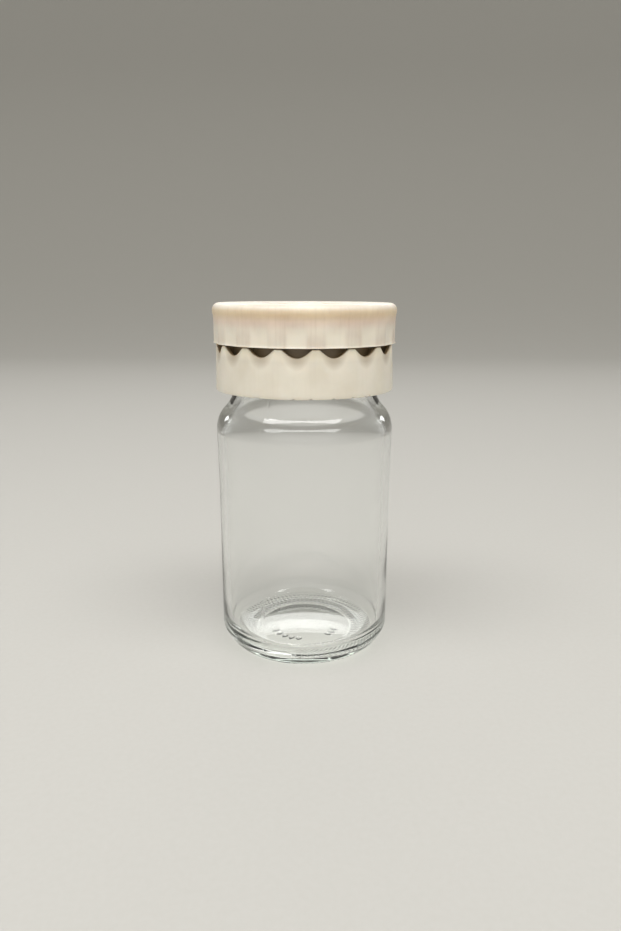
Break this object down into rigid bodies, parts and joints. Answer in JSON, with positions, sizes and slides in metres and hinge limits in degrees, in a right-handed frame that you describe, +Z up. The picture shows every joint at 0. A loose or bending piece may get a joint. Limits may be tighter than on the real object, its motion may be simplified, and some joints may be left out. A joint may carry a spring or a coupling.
{
  "type": "spice jar",
  "caption": "Clear glass spice jar with a screw-on scalloped plastic collar and a dial lid that turns to sift, pour or shut.",
  "frame": {"origin": "centre of the jar's base, on the plane of the ring that it stands on", "axes": "+Z up along the jar's axis, -Y towards the front, where the dial's window stands when it is shut, +X to the right seen from the front"},
  "size_m": [0.0532, 0.0532, 0.104],
  "materials": {
    "clear_glass": "clear, pressed, faintly green where thick",
    "foam_liner": "soft white liner",
    "collar_plastic": "moulded ivory plastic, satin",
    "dial_plastic": "moulded ivory plastic, satin"
  },
  "bodies": {
    "jar": {"glass_jar": "clear_glass"},
    "seal": {"seal_ring": "foam_liner"},
    "collar": {"screw_collar": "collar_plastic"},
    "dial": {"dial_cap": "dial_plastic"}
  },
  "joints": [
    {"name": "lid_lift", "type": "slide", "parent": "jar", "child": "seal", "axis": [0, 0, 1], "range_m": [0, 0.01692]},
    {"name": "lid_turn", "type": "hinge", "parent": "seal", "child": "collar", "pos_m": [0, 0, 0.0915], "axis": [0, 0, 1], "range_deg": [0, 1440]},
    {"name": "dial_turn", "type": "hinge", "parent": "collar", "child": "dial", "pos_m": [0, 0, 0.1018], "axis": [0, 0, 1], "range_deg": [-120, 120]}
  ],
  "couplings": [
    {"joint": "lid_lift", "follows": "lid_turn", "m_per_rad": 0.00067323}
  ]
}
